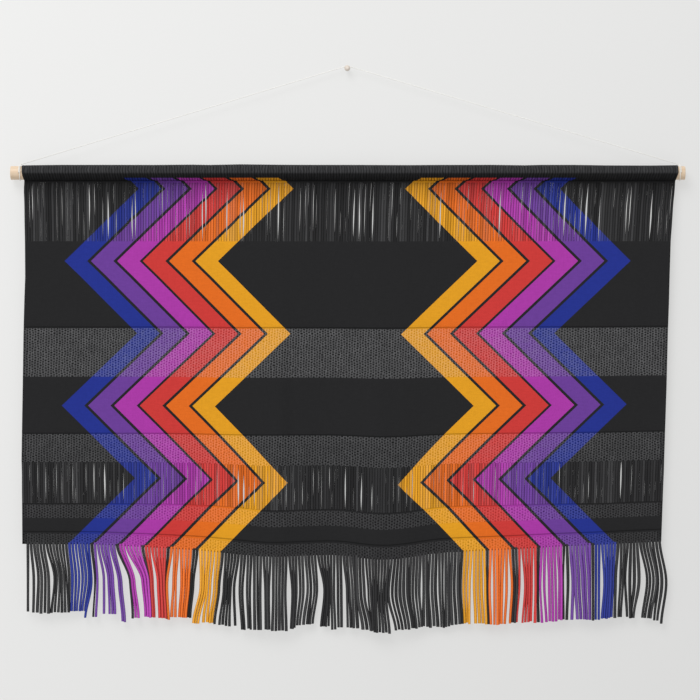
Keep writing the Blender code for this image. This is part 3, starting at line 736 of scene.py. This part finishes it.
def build_string(material):
    """A two-ply twisted string along the route."""
    route = np.array(string_route())
    run = np.concatenate(((0.0,), np.cumsum(np.linalg.norm(np.diff(route, axis=0), axis=1))))
    distance = np.linspace(0.0, run[-1], round(run[-1] / STRING_STEP))
    line = np.stack([np.interp(distance, run, route[:, axis]) for axis in range(3)], axis=-1)
    ways = np.gradient(line, axis=0)
    ways /= np.linalg.norm(ways, axis=1)[:, None]
    side = Vector((1.0, 0.0, 0.0))
    points = []
    for place, way, far in zip(line, ways, distance):
        way = Vector(way)
        side = (side - way * side.dot(way)).normalized()
        other = way.cross(side)
        spin = 2.0 * math.pi * far / STRING_TWIST
        for a in ring_angles(STRING_SIDES):
            reach = STRING_RADIUS * (STRING_PLIES[0] + STRING_PLIES[1] * math.cos(2.0 * (a - spin)))
            step = side * (reach * math.cos(a)) + other * (reach * math.sin(a))
            points.append((place[0] + step.x, place[1] + step.y, place[2] + step.z))
    faces = tube_faces(1, len(line), STRING_SIDES)
    yarn = np.repeat(np.stack((np.zeros(len(line)), distance / run[-1]), axis=-1), STRING_SIDES, axis=0)
    piece = make_piece("hanging_string", points, faces, {"yarn": yarn}, material)
    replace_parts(piece, "string")


# Materials. BY in a name: how fast one value grows with another, and where it starts

UNDERSIDE = 19.0  # from the seam up the cloth, the part of the sleeve that faces down and gets painted shade
UNDERSIDE_BLEND = 3.0
UNDERSIDE_SHADE = 0.65
# Painted shade in the crease under the sleeve
CREASE_HALF = 1.5
CREASE_SHADE = 0.55
# Painted shade in the groove lines at the top of the coarse bands and at the hem, and over the hem
BAND_LINE_HALF = 1.0
BAND_LINE_SHADE = 0.42
HEM_LINE_HALF = 1.3
HEM_HALF = 2.2
HEM_SHADE = 0.40
RIM_DARK = 0.28
RAMP_SPAN = 1000.0  # of the ramp that tells the bands apart

# The threads of the coarse bands
WARP_WAVER = 4.5  # how far they stray, over the whole range of a noise
WEFT_WAVER = 3.5
STRAY_SCALE = 0.10
STRAY_SEEDS = (300.0, 700.0)
UNEVEN_SCALE = 0.035
PATCH_SCALE = 0.11
STREAK_SCALE = 0.05
STREAK_NARROW = 8.0
# The dips are painted shade where the coarse threads cross
DIP_POWER = 0.7
DIP_BY_COLUMN = (0.75, 0.35)
DIP_BY_CHANCE = (0.6, 0.5)
DIP_BY_PATCH = (1.4, 0.45)
DEPTH_BY_RED = (0.42, -0.66)
SHADE_TOP = 1.07
SHADE_BY_COLUMN = (-0.16, 1.08)
# Lint and a painted sheen on the coarse threads, less in the shaded dips
LINT_AND_SHEEN_BY_NOISE = 0.078
LINT_AND_SHEEN_BY_CHANCE = 0.050
LINT_AND_SHEEN_BY_DIP = (-2.5, 1.25)
LINT_AND_SHEEN_BY_COLUMN = (-0.5, 1.25)
LINT_AND_SHEEN_TOP = -515.0  # below it the coarse bands have less lint and painted sheen, by this share a millimetre
LINT_AND_SHEEN_FALL = 0.0022
CROWN_POWER = 0.6

# The fine bands and the sleeve
FINE_RIB_PITCH = 1.05
FINE_RIB_LIGHT = 0.03
FINE_BUMP = 0.35
MOTTLE_SCALE = 0.35
MOTTLE_WIDE = 0.25
LIGHT_BY_MOTTLE = (0.22, 0.87)
LIGHT_BY_STREAK = (0.12, -0.06)
RIB_LEAST = 0.35
RIBS_BY_STREAK = (2.3, 0.46)

# Loose yarns and string
# Light from and to, lint and painted sheen, fluff of a few, one turn of the twist
OPEN_LOOK = (0.68, 1.04, 0.004, 0.085, 4.0)
FRINGE_LOOK = (0.84, 1.16, 0.022, 0.05, 6.0)
EDGE_SHADE = 0.72  # painted shade: how much darker a yarn is at its sides, in the groove beside it; a quarter of it lightens the middle as a painted highlight
SHADE_REACH = 42.0  # below the seam, where the sleeve keeps light off the yarns
SHADE_DARK = 0.45
FIBRE_SEEDS = 400.0
FIBRE_LENGTHS = 30.0
LIGHT_BY_FIBRE = (0.24, -0.12)
HELIX_LIGHT = 0.03
FLUFF_POWER = 3.0
STRING_FIBRES = 900.0

# Wood, whose noises are scaled by the metre
GRAIN_STOPS = (0.30, 0.52, 0.78)
FLECK_LEAST = 0.60
FLECK_SHARE = 0.22
BEND_SCALE = 9.0
BEND_SHARE = 0.15
# The radius of the painted highlight on the peg's head
PEG_HIGHLIGHT_RADIUS = 3.0


def operator(operation):
    return lambda first, *others: first.finish.math(operation, first, *others)


class Number:
    """A number in a material. Arithmetic on it adds the nodes for it."""

    def __init__(self, finish, socket):
        self.finish = finish
        self.socket = socket

    def __rsub__(self, other):
        return self.finish.math("SUBTRACT", other, self)

    __add__ = operator("ADD")
    __sub__ = operator("SUBTRACT")
    __mul__ = operator("MULTIPLY")
    __truediv__ = operator("DIVIDE")
    __pow__ = operator("POWER")
    __abs__ = operator("ABSOLUTE")
    line = operator("MULTIPLY_ADD")
    at_least = operator("MAXIMUM")
    at_most = operator("MINIMUM")
    above = operator("GREATER_THAN")
    near = operator("COMPARE")
    sine = operator("SINE")
    cosine = operator("COSINE")
    floor = operator("FLOOR")
    root = operator("SQRT")
    swing = operator("PINGPONG")


class Finish:
    """A material, with short calls for the nodes that it is built from."""

    def __init__(self, name, roughness, specular=0.25):
        self.material = bpy.data.materials.new(name)
        self.material.use_nodes = True
        self.tree = self.material.node_tree
        self.surface = self.tree.nodes["Principled BSDF"]
        self.surface.inputs["Roughness"].default_value = roughness
        self.surface.inputs["Specular IOR Level"].default_value = specular

    def feed(self, socket, value):
        if isinstance(value, Number):
            value = value.socket
        if isinstance(value, bpy.types.NodeSocket):
            self.tree.links.new(value, socket)
        else:
            socket.default_value = value

    def node(self, kind, *values, **settings):
        """A new node, whose first inputs get the values."""
        made = self.tree.nodes.new(kind)
        for key, value in settings.items():
            setattr(made, key, value)
        for socket, value in zip(made.inputs, values):
            self.feed(socket, value)
        return made

    def math(self, operation, *values):
        return Number(self, self.node("ShaderNodeMath", *values, operation=operation).outputs[0])

    def mix(self, share, one, other):
        made = self.node("ShaderNodeMix", share, data_type="RGBA", clamp_factor=True)
        self.feed(made.inputs[6], one)
        self.feed(made.inputs[7], other)
        return made.outputs[2]

    def ramp(self, share, stops, interpolation):
        made = self.node("ShaderNodeValToRGB", share)
        made.color_ramp.interpolation = interpolation
        elements = made.color_ramp.elements
        while len(elements) < len(stops):
            elements.new(0.5)
        for element, (place, colour) in zip(elements, stops):
            element.position = place
            element.color = colour if hasattr(colour, "__len__") else (colour, colour, colour, 1.0)
        return made.outputs[0]

    def vector(self, *values):
        return self.node("ShaderNodeCombineXYZ", *values).outputs[0]

    def split(self, vector):
        return [Number(self, output) for output in self.node("ShaderNodeSeparateXYZ", vector).outputs]

    def layer(self, name):
        """The two numbers of a UV layer."""
        return self.split(self.node("ShaderNodeUVMap", uv_map=name).outputs[0])[:2]

    def place(self):
        return self.node("ShaderNodeTexCoord").outputs["Object"]

    def noise(self, vector, scale, detail=2.0, roughness=0.5):
        made = self.node("ShaderNodeTexNoise", vector)
        for name, value in (("Scale", scale), ("Detail", detail), ("Roughness", roughness)):
            made.inputs[name].default_value = value
        return Number(self, made.outputs["Fac"])

    def chance(self, vector):
        """A number of 0 to 1 for each whole place of a vector."""
        made = self.node("ShaderNodeTexWhiteNoise", vector, noise_dimensions="3D")
        return Number(self, made.outputs["Value"])

    def scaled(self, colour, factor):
        made = self.node("ShaderNodeVectorMath", operation="SCALE")
        self.feed(made.inputs[0], colour if isinstance(colour, bpy.types.NodeSocket) else colour[:3])
        self.feed(made.inputs["Scale"], factor)
        return made.outputs[0]

    def darker(self, colour, where, share):
        """A colour that loses a share of its light where a number is 1."""
        return self.scaled(colour, where.line(-share, 1.0))

    def bump(self, height, distance, strength):
        made = self.node("ShaderNodeBump", strength)
        made.inputs["Distance"].default_value = distance * MM
        self.feed(made.inputs["Height"], height)
        self.feed(self.surface.inputs["Normal"], made.outputs[0])

    def colour(self, value):
        self.feed(self.surface.inputs["Base Color"], value)


def flat_place(finish):
    """Warp position and height on the flat cloth, in millimetres."""
    u, v = finish.layer("cloth")
    return (u - 0.5) * UV_SPAN, (v - 1.0) * UV_SPAN


def printed(finish, warp, height):
    """The colour of the print at a place on the flat cloth, black above its top."""
    swing = (ZIGZAG_PHASE - height).swing(ZIGZAG_HALF_PERIOD)
    swing = swing.line(2.0 * ZIGZAG_REACH / ZIGZAG_HALF_PERIOD, -ZIGZAG_REACH)
    whole = len(PRINT) * STRIPE + (len(PRINT) - 1) * LINE + 2.0 * PRINT_MARGIN
    share = (abs(warp) - swing - (ZIGZAG_CENTRE - 0.5 * whole)) / whole
    stops = [(0.0, GROUND)]
    place = PRINT_MARGIN
    for colour in PRINT:
        stops += [(place / whole, colour), ((place + STRIPE) / whole, GROUND)]
        place += STRIPE + LINE
    return finish.mix(height.above(PRINT_TOP), finish.ramp(share, stops, "CONSTANT"), GROUND)


def woven_finish():
    """Fine and coarse plain weave of one printed cloth, told apart by the height on it."""
    finish = Finish("printed_weave", roughness=0.9, specular=0.06)
    warp, height = flat_place(finish)
    coords = finish.vector(warp, height)
    base = printed(finish, warp, height)
    stops = [(0.0, 0.0)]
    edges = []
    for kind, top, bottom in FIELD_BANDS + FOOT_BANDS:
        if kind == "coarse":
            stops += [(-top / RAMP_SPAN, 1.0), (-bottom / RAMP_SPAN, 0.0)]
            edges.append(top)
    coarse = Number(finish, finish.ramp(height / -RAMP_SPAN, stops, "CONSTANT"))

    # Threads of the coarse bands, which stray a little: painted shade in a dip at every second crossing, each
    # crossing a little different, and a slightly darker line down each warp yarn. The painted shade in the dips
    # is shallower in the warm colours, and the lower bands have less lint and painted sheen
    from_edge = warp + HALF_WIDTH
    astray = finish.noise(finish.vector(warp, height, STRAY_SEEDS[0]), STRAY_SCALE, detail=1.0)
    astray = astray.line(WARP_WAVER, -0.5 * WARP_WAVER)
    across_thread = ((from_edge + astray) * (math.pi / YARN_PITCH)).sine()
    lifted = finish.noise(finish.vector(warp, height, STRAY_SEEDS[1]), STRAY_SCALE, detail=1.0)
    along_thread = (lifted.line(WEFT_WAVER, height) * (math.pi / WEFT_PITCH)).sine()
    weave = across_thread * along_thread
    column = across_thread * across_thread
    uneven = finish.noise(coords, UNEVEN_SCALE, detail=3.0)
    patchy = finish.noise(coords, PATCH_SCALE, detail=1.0)
    streak = finish.noise(finish.vector(warp * STREAK_NARROW, height), STREAK_SCALE)
    cell = finish.vector((from_edge / YARN_PITCH).floor(), (height / WEFT_PITCH).floor())
    chance = finish.chance(cell)
    dip = (weave * -1.0).at_least(0.0) ** DIP_POWER
    dip = dip * column.line(*DIP_BY_COLUMN) * chance.line(*DIP_BY_CHANCE) * patchy.line(*DIP_BY_PATCH)
    lint_and_sheen = (uneven + streak) * LINT_AND_SHEEN_BY_NOISE + chance * LINT_AND_SHEEN_BY_CHANCE
    lint_and_sheen = lint_and_sheen * dip.line(*LINT_AND_SHEEN_BY_DIP).at_least(0.0) * column.line(*LINT_AND_SHEEN_BY_COLUMN)
    lint_and_sheen = lint_and_sheen * height.line(LINT_AND_SHEEN_FALL, 1.0 - LINT_AND_SHEEN_FALL * LINT_AND_SHEEN_TOP).at_most(1.0)
    red = Number(finish, finish.node("ShaderNodeSeparateColor", base).outputs[0])
    shade = dip.line(red.line(*DEPTH_BY_RED), SHADE_TOP) * column.line(*SHADE_BY_COLUMN)
    coarse_colour = finish.scaled(finish.mix(lint_and_sheen, base, LINT_AND_SHEEN_COLOUR), shade)

    # Fine bands: faint level ribs and upright streaks
    rib = (height * (math.pi / FINE_RIB_PITCH)).sine()
    mottle = finish.noise(finish.vector(warp * MOTTLE_WIDE, height), MOTTLE_SCALE, detail=3.0)
    tone = rib.line(FINE_RIB_LIGHT, mottle.line(*LIGHT_BY_MOTTLE)) + streak.line(*LIGHT_BY_STREAK)
    colour = finish.mix(coarse, finish.scaled(base, tone), coarse_colour)

    # The sleeve's upright ribs, painted shade on its underside and painted shade in the crease under it
    ribs = (abs(across_thread) + RIB_LEAST) * streak.line(*RIBS_BY_STREAK)
    sleeve = height.above(CREASE)
    colour = finish.mix(sleeve, colour, finish.scaled(base, ribs))
    # Painted shade on the sleeve's underside, the part that faces down
    turned_up = height.line(1.0 / UNDERSIDE_BLEND, -(CREASE + UNDERSIDE) / UNDERSIDE_BLEND)
    underside_shade_mask = (1.0 - turned_up.at_least(0.0).at_most(1.0)) * sleeve
    colour = finish.darker(colour, underside_shade_mask, UNDERSIDE_SHADE)
    # Painted shade in the crease under the sleeve
    colour = finish.darker(colour, height.near(CREASE, CREASE_HALF), CREASE_SHADE)

    # Painted shade in a groove line at the top of each coarse band and at the hem, painted shade over the
    # hem, and a darker selvedge beside the coarse bands
    line = height.near(HEM, HEM_LINE_HALF)
    for edge in edges:
        line = line.at_least(height.near(edge, BAND_LINE_HALF))
    colour = finish.darker(colour, line, BAND_LINE_SHADE)
    colour = finish.darker(colour, height.near(HEM, HEM_HALF), HEM_SHADE)
    rim = abs(warp).above(HALF_WIDTH - SELVEDGE) * coarse
    finish.colour(finish.darker(colour, rim, RIM_DARK))

    fine_warp = (warp * (2.0 * math.pi / YARN_PITCH)).sine()
    relief = abs(weave) ** CROWN_POWER * coarse
    relief = relief + abs(rib * fine_warp) * FINE_BUMP * (1.0 - coarse)
    finish.bump(relief, distance=0.5, strength=0.8)
    return finish.material


def yarn_finish(name, low, high, lint_and_sheen, fluffy, twist):
    """Hanging yarns in the print's colours, each a little lighter, darker or fluffier, with a fine twist,
    painted shade on their sides and a painted highlight down their middles.
    """
    finish = Finish(name, roughness=0.8, specular=0.08)
    warp, height = flat_place(finish)
    base = printed(finish, warp, height)
    tone, along = finish.layer("yarn")
    cos, sin = (value.line(2.0, -1.0) for value in finish.layer("round"))
    turn = along * (2.0 * math.pi * UV_SPAN / twist)
    helix = sin * turn.cosine() + cos * turn.sine()
    fibre = finish.noise(finish.vector(tone * FIBRE_SEEDS, along * FIBRE_LENGTHS, cos), 1.0)
    # The twist adds faint painted light and shade along the helix
    light = tone.line(high - low, low) + fibre.line(*LIGHT_BY_FIBRE) + helix * HELIX_LIGHT
    # Painted shade on the yarn's sides and a painted highlight down its middle
    light = light * (cos * cos).line(-EDGE_SHADE, 1.0 + 0.25 * EDGE_SHADE)
    shaded = height.line(1.0 / SHADE_REACH, 1.0 - CREASE / SHADE_REACH).at_least(0.0)
    # Fluff of a few yarns, and the lint and painted sheen that all of them have
    fluff = finish.chance(finish.vector(tone)) ** FLUFF_POWER * fluffy + lint_and_sheen
    colour = finish.scaled(finish.mix(fluff, base, LINT_AND_SHEEN_COLOUR), light)
    finish.colour(finish.darker(colour, shaded, SHADE_DARK))
    finish.bump(helix, distance=0.12, strength=0.5)
    return finish.material


def string_finish():
    finish = Finish("twisted_cotton", roughness=0.85)
    along = finish.layer("yarn")[1]
    fibre = finish.noise(finish.vector(along * STRING_FIBRES), 1.0, detail=3.0)
    finish.colour(finish.ramp(fibre, STRING_COLOURS, "LINEAR"))
    return finish.material


def wood_finish(name, colours, stretch, scale, specular=0.5, highlight_radius=0.0):
    """Fine straight grain along the X axis. The last argument is the radius round the Y axis of a paler middle,
    a painted highlight.
    """
    pale, warm, dark = colours
    finish = Finish(name, roughness=0.45, specular=specular)
    x, y, z = finish.split(finish.place())
    bend = finish.noise(finish.place(), BEND_SCALE, detail=1.0)
    lines = finish.vector(x * stretch, y, z)
    grain = finish.noise(lines, scale, detail=4.0, roughness=0.6)
    fine = finish.noise(lines, 5.0 * scale)
    colour = finish.ramp(grain, list(zip(GRAIN_STOPS, (warm, pale, pale))), "LINEAR")
    colour = finish.mix(fine.above(FLECK_LEAST) * FLECK_SHARE, colour, dark)
    colour = finish.mix(bend * BEND_SHARE, colour, warm)
    # A painted highlight: paler towards the middle of the peg's head
    if highlight_radius > 0.0:
        away = (x * x + z * z).root() / (highlight_radius * MM)
        colour = finish.mix(1.0 - away, colour, PEG_HIGHLIGHT)
    finish.colour(colour)
    finish.bump(fine.line(0.5, grain), distance=0.15, strength=0.4)
    return finish.material


def plain_finish(name, colour, mottle):
    """A painted surface with a very faint mottle."""
    finish = Finish(name, roughness=0.9)
    tone = finish.noise(finish.place(), 3.0, detail=4.0)
    finish.colour(finish.scaled(colour, tone.line(mottle, 1.0 - 0.5 * mottle)))
    return finish


# Room, light and camera, in metres

WALL_SIZE = 2.7
WALL_Y = 0.0012
WALL_COLOUR = (0.20, 0.20, 0.20, 1.0)
WALL_TINT = (1.0, 1.0, 0.988, 1.0)
WALL_GLOW = 0.562  # painted light: the wall glows as if lit from all round, and the hanging doesn't shade it
GLOW_ACROSS = -0.061  # how it changes for a metre to the right
GLOW_UP = 0.050  # and for a metre up
FLOOR_Z = -1.62
FLOOR_REACH = 4.0
LIGHTS = (
    # name, place, size, watts
    ("window", (-2.67, -5.72, 5.19), 4.5, 450.0),
    ("back_fill", (0.4, 2.6, 1.4), 2.5, 30.0),
)
LIGHT_AIM = (0.0, 0.0, -0.5)
WORLD_STRENGTH = 0.715
PLANE_WIDTH = 1.240  # what the photograph's frame spans at the cloth
VIEW_X = 0.0048
VIEW_Z = -0.4996
VIEW_DISTANCE = 5.0
SENSOR = 36.0  # in millimetres


def stage_plane(name, corners, material):
    mesh = bpy.data.meshes.new(name)
    mesh.from_pydata(corners, [], [(0, 1, 2, 3)])
    mesh.materials.append(material)
    piece = add_object(name, mesh)
    return piece


def build_room():
    """A pale wall that is seen from the front only and glows with painted light, and a pale floor."""
    half = WALL_SIZE / 2.0
    finish = plain_finish("wall_paint", WALL_COLOUR, mottle=0.02)
    x, _, z = finish.split(finish.place())
    # The wall's glow is painted light, brighter towards the upper left
    glow = z.line(GLOW_UP, x.line(GLOW_ACROSS, WALL_GLOW - GLOW_UP * VIEW_Z))
    finish.surface.inputs["Emission Color"].default_value = WALL_TINT
    finish.feed(finish.surface.inputs["Emission Strength"], glow)
    behind = finish.node("ShaderNodeNewGeometry").outputs["Backfacing"]
    clear = finish.node("ShaderNodeBsdfTransparent").outputs[0]
    chosen = finish.node("ShaderNodeMixShader", behind, finish.surface.outputs[0], clear)
    finish.feed(finish.tree.nodes["Material Output"].inputs["Surface"], chosen.outputs[0])
    top = VIEW_Z + half
    corners = ((-half, FLOOR_Z), (half, FLOOR_Z), (half, top), (-half, top))
    corners = [(side, WALL_Y, level) for side, level in corners]
    stage_plane("wall", corners, finish.material).visible_shadow = False
    corners = ((-1.0, -1.0), (1.0, -1.0), (1.0, 1.0), (-1.0, 1.0))
    corners = [(FLOOR_REACH * side, FLOOR_REACH * far, FLOOR_Z) for side, far in corners]
    paint = plain_finish("floor_paint", FLOOR_COLOUR, mottle=0.03).material
    stage_plane("floor", corners, paint).visible_diffuse = False


def build_light():
    scene = bpy.context.scene
    scene.view_settings.view_transform = "Standard"
    for name, place, size, watts in LIGHTS:
        lamp = bpy.data.lights.new(name, "AREA")
        lamp.shape = "SQUARE"
        lamp.size = size
        lamp.energy = watts
        light = add_object(name, lamp)
        light.location = place
        light.rotation_euler = (Vector(LIGHT_AIM) - Vector(place)).to_track_quat("-Z", "Y").to_euler()
    world = bpy.data.worlds.new("room")
    scene.world = world
    world.use_nodes = True
    ground = world.node_tree.nodes["Background"]
    ground.inputs["Color"].default_value = (1.0, 1.0, 1.0, 1.0)
    ground.inputs["Strength"].default_value = WORLD_STRENGTH


def build_camera():
    lens = bpy.data.cameras.new("camera")
    lens.sensor_width = SENSOR
    lens.lens = SENSOR * VIEW_DISTANCE / PLANE_WIDTH
    camera = add_object("camera", lens)
    camera.location = (VIEW_X, AXIS_Y * MM - VIEW_DISTANCE, VIEW_Z)
    camera.rotation_euler = (math.radians(90.0), 0.0, 0.0)
    bpy.context.scene.camera = camera


def main():
    rng = np.random.default_rng(SEED)
    build_camera()
    build_string(string_finish())
    weave = woven_finish()
    open_yarn = yarn_finish("loose_warp", *OPEN_LOOK)
    fringe_yarn = yarn_finish("fringe_yarn", *FRINGE_LOOK)
    sleeve = build_sleeve(weave)
    field = build_woven("cloth_field", FIELD_BANDS, weave)
    foot = build_woven("cloth_foot", FOOT_BANDS, weave)
    upper = build_open("warp_upper", UPPER_OPEN, 1, NARROW_UPPER, 1.22, 13, open_yarn, rng)
    lower = build_open("warp_lower", LOWER_OPEN, 2, NARROW_LOWER, 1.0, 10, open_yarn, rng)
    fringe = build_fringe(fringe_yarn, rng)
    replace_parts(field, "cloth")
    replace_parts(fringe, "fringe")
    pale_wood = wood_finish("pale_wood", DOWEL_WOOD, stretch=0.03, scale=260.0)
    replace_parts(build_dowel(pale_wood), "dowel")
    peg_wood = wood_finish("peg_wood", PEG_WOOD, stretch=1.0, scale=700.0, specular=0.15, highlight_radius=PEG_HIGHLIGHT_RADIUS)
    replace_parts(build_peg(peg_wood), "peg")
    build_room()
    build_light()


main()
